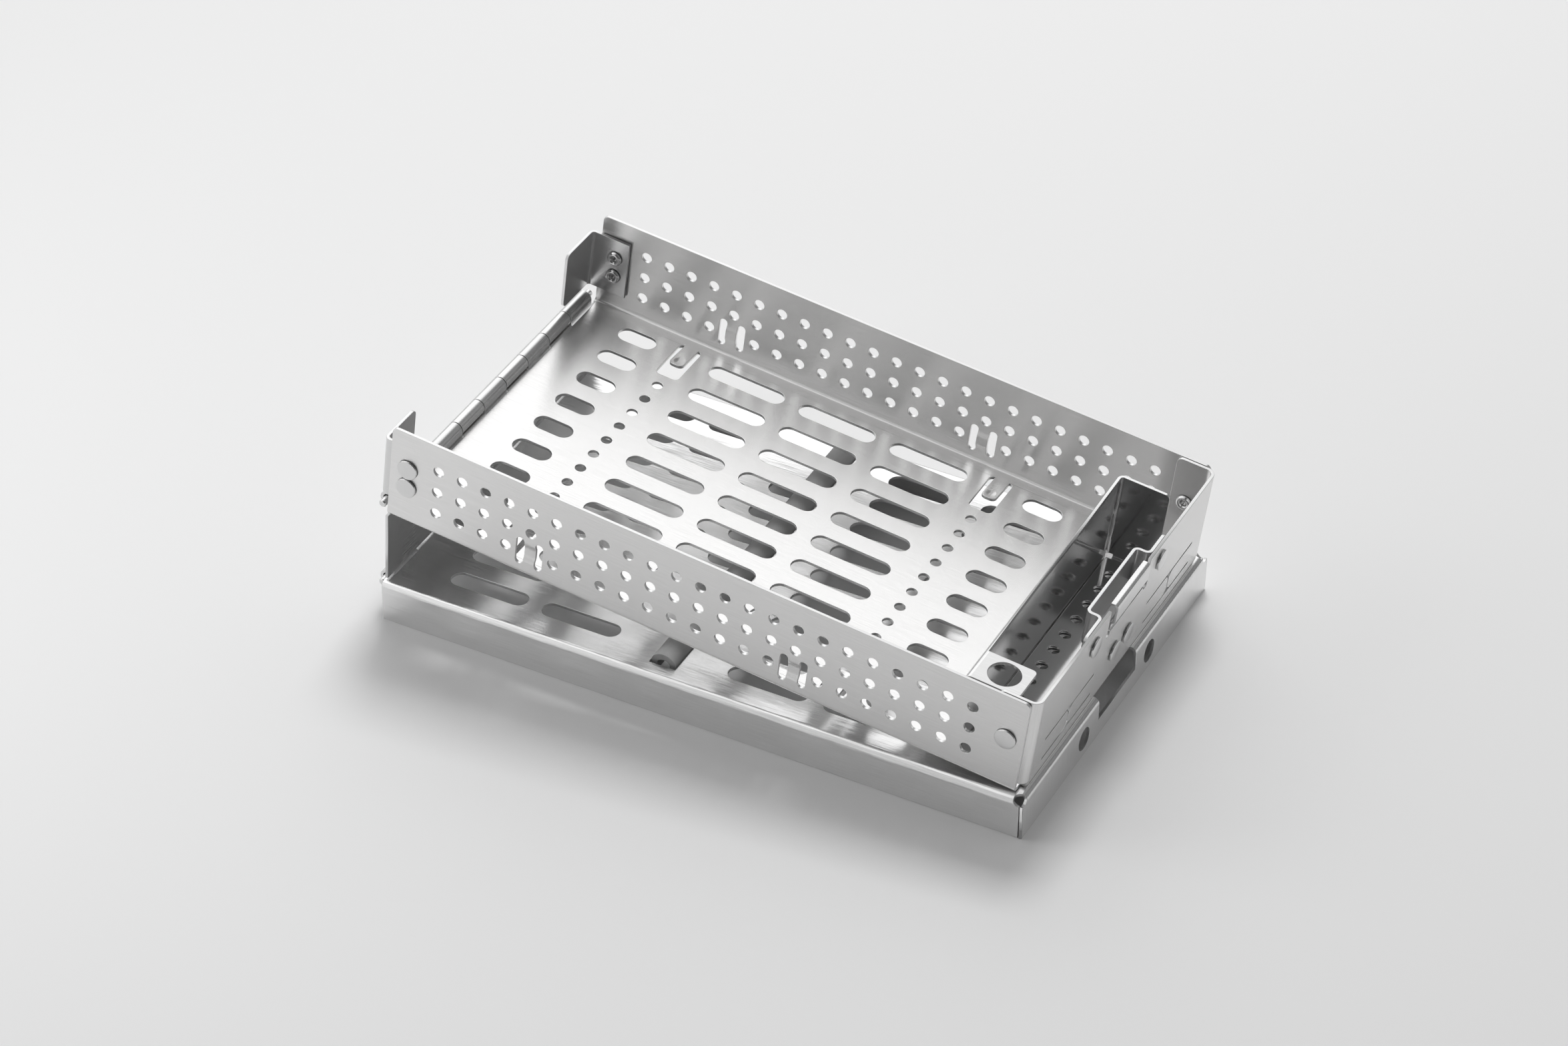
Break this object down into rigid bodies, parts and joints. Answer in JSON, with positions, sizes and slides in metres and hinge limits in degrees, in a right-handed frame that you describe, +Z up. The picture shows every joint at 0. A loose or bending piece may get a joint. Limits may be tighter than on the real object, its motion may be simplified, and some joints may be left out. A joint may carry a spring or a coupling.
{
  "type": "dental instrument cassette",
  "caption": "Perforated steel sterilising tray with a slotted lid on a double-hinged end panel, a sprung latch and a cross divider, standing open on its lid.",
  "frame": {"origin": "on the table, under the middle of the open cassette's box", "axes": "+X from the hinges towards the latch end, +Y across towards the far wall, +Z up"},
  "size_m": [0.2212, 0.1302, 0.0729],
  "materials": {
    "tray_steel": "fine brushed stainless, grain along the tray",
    "bracket_steel": "fine brushed stainless",
    "divider_steel": "fine brushed stainless",
    "leaf_steel": "brushed spring stainless",
    "panel_steel": "fine brushed stainless",
    "lid_steel": "fine brushed stainless, grain along the lid",
    "rail_silicone": "matte grey silicone",
    "pin_steel": "drawn stainless wire",
    "rivet_steel": "pressed stainless"
  },
  "bodies": {
    "tray": {"tray_shell": "tray_steel", "corner_bracket_near": "bracket_steel", "corner_bracket_far": "bracket_steel", "latch_bracket": "bracket_steel", "accessory_divider": "divider_steel", "tray_hinge_pin": "pin_steel", "bracket_rivet_near_lower": "rivet_steel", "bracket_rivet_near_upper": "rivet_steel", "bracket_rivet_far_lower": "rivet_steel", "bracket_rivet_far_upper": "rivet_steel", "corner_rivet_near": "rivet_steel", "corner_rivet_far": "rivet_steel", "latch_bracket_rivet_near": "rivet_steel", "latch_bracket_rivet_far": "rivet_steel", "latch_leaf_rivet_near": "rivet_steel", "latch_leaf_rivet_far": "rivet_steel"},
    "panel": {"end_panel": "panel_steel", "lid_hinge_pin": "pin_steel"},
    "lid": {"lid_shell": "lid_steel", "hold_down_rail": "rail_silicone"},
    "latch": {"latch_leaf": "leaf_steel"}
  },
  "joints": [
    {"name": "tray_hinge", "type": "hinge", "parent": "tray", "child": "panel", "pos_m": [-0.10638, 0, 0.04195], "axis": [0, 1, 0], "range_deg": [0, 183.5]},
    {"name": "lid_hinge", "type": "hinge", "parent": "panel", "child": "lid", "pos_m": [-0.10814, 0, 0.0115], "axis": [0, 1, 0], "range_deg": [0, 183.32]},
    {"name": "latch_flex", "type": "hinge", "parent": "tray", "child": "latch", "pos_m": [0.10537, 0, 0.02639], "axis": [0, -1, 0], "range_deg": [0, 3.5], "stiffness_Nm_per_rad": 0.6}
  ]
}
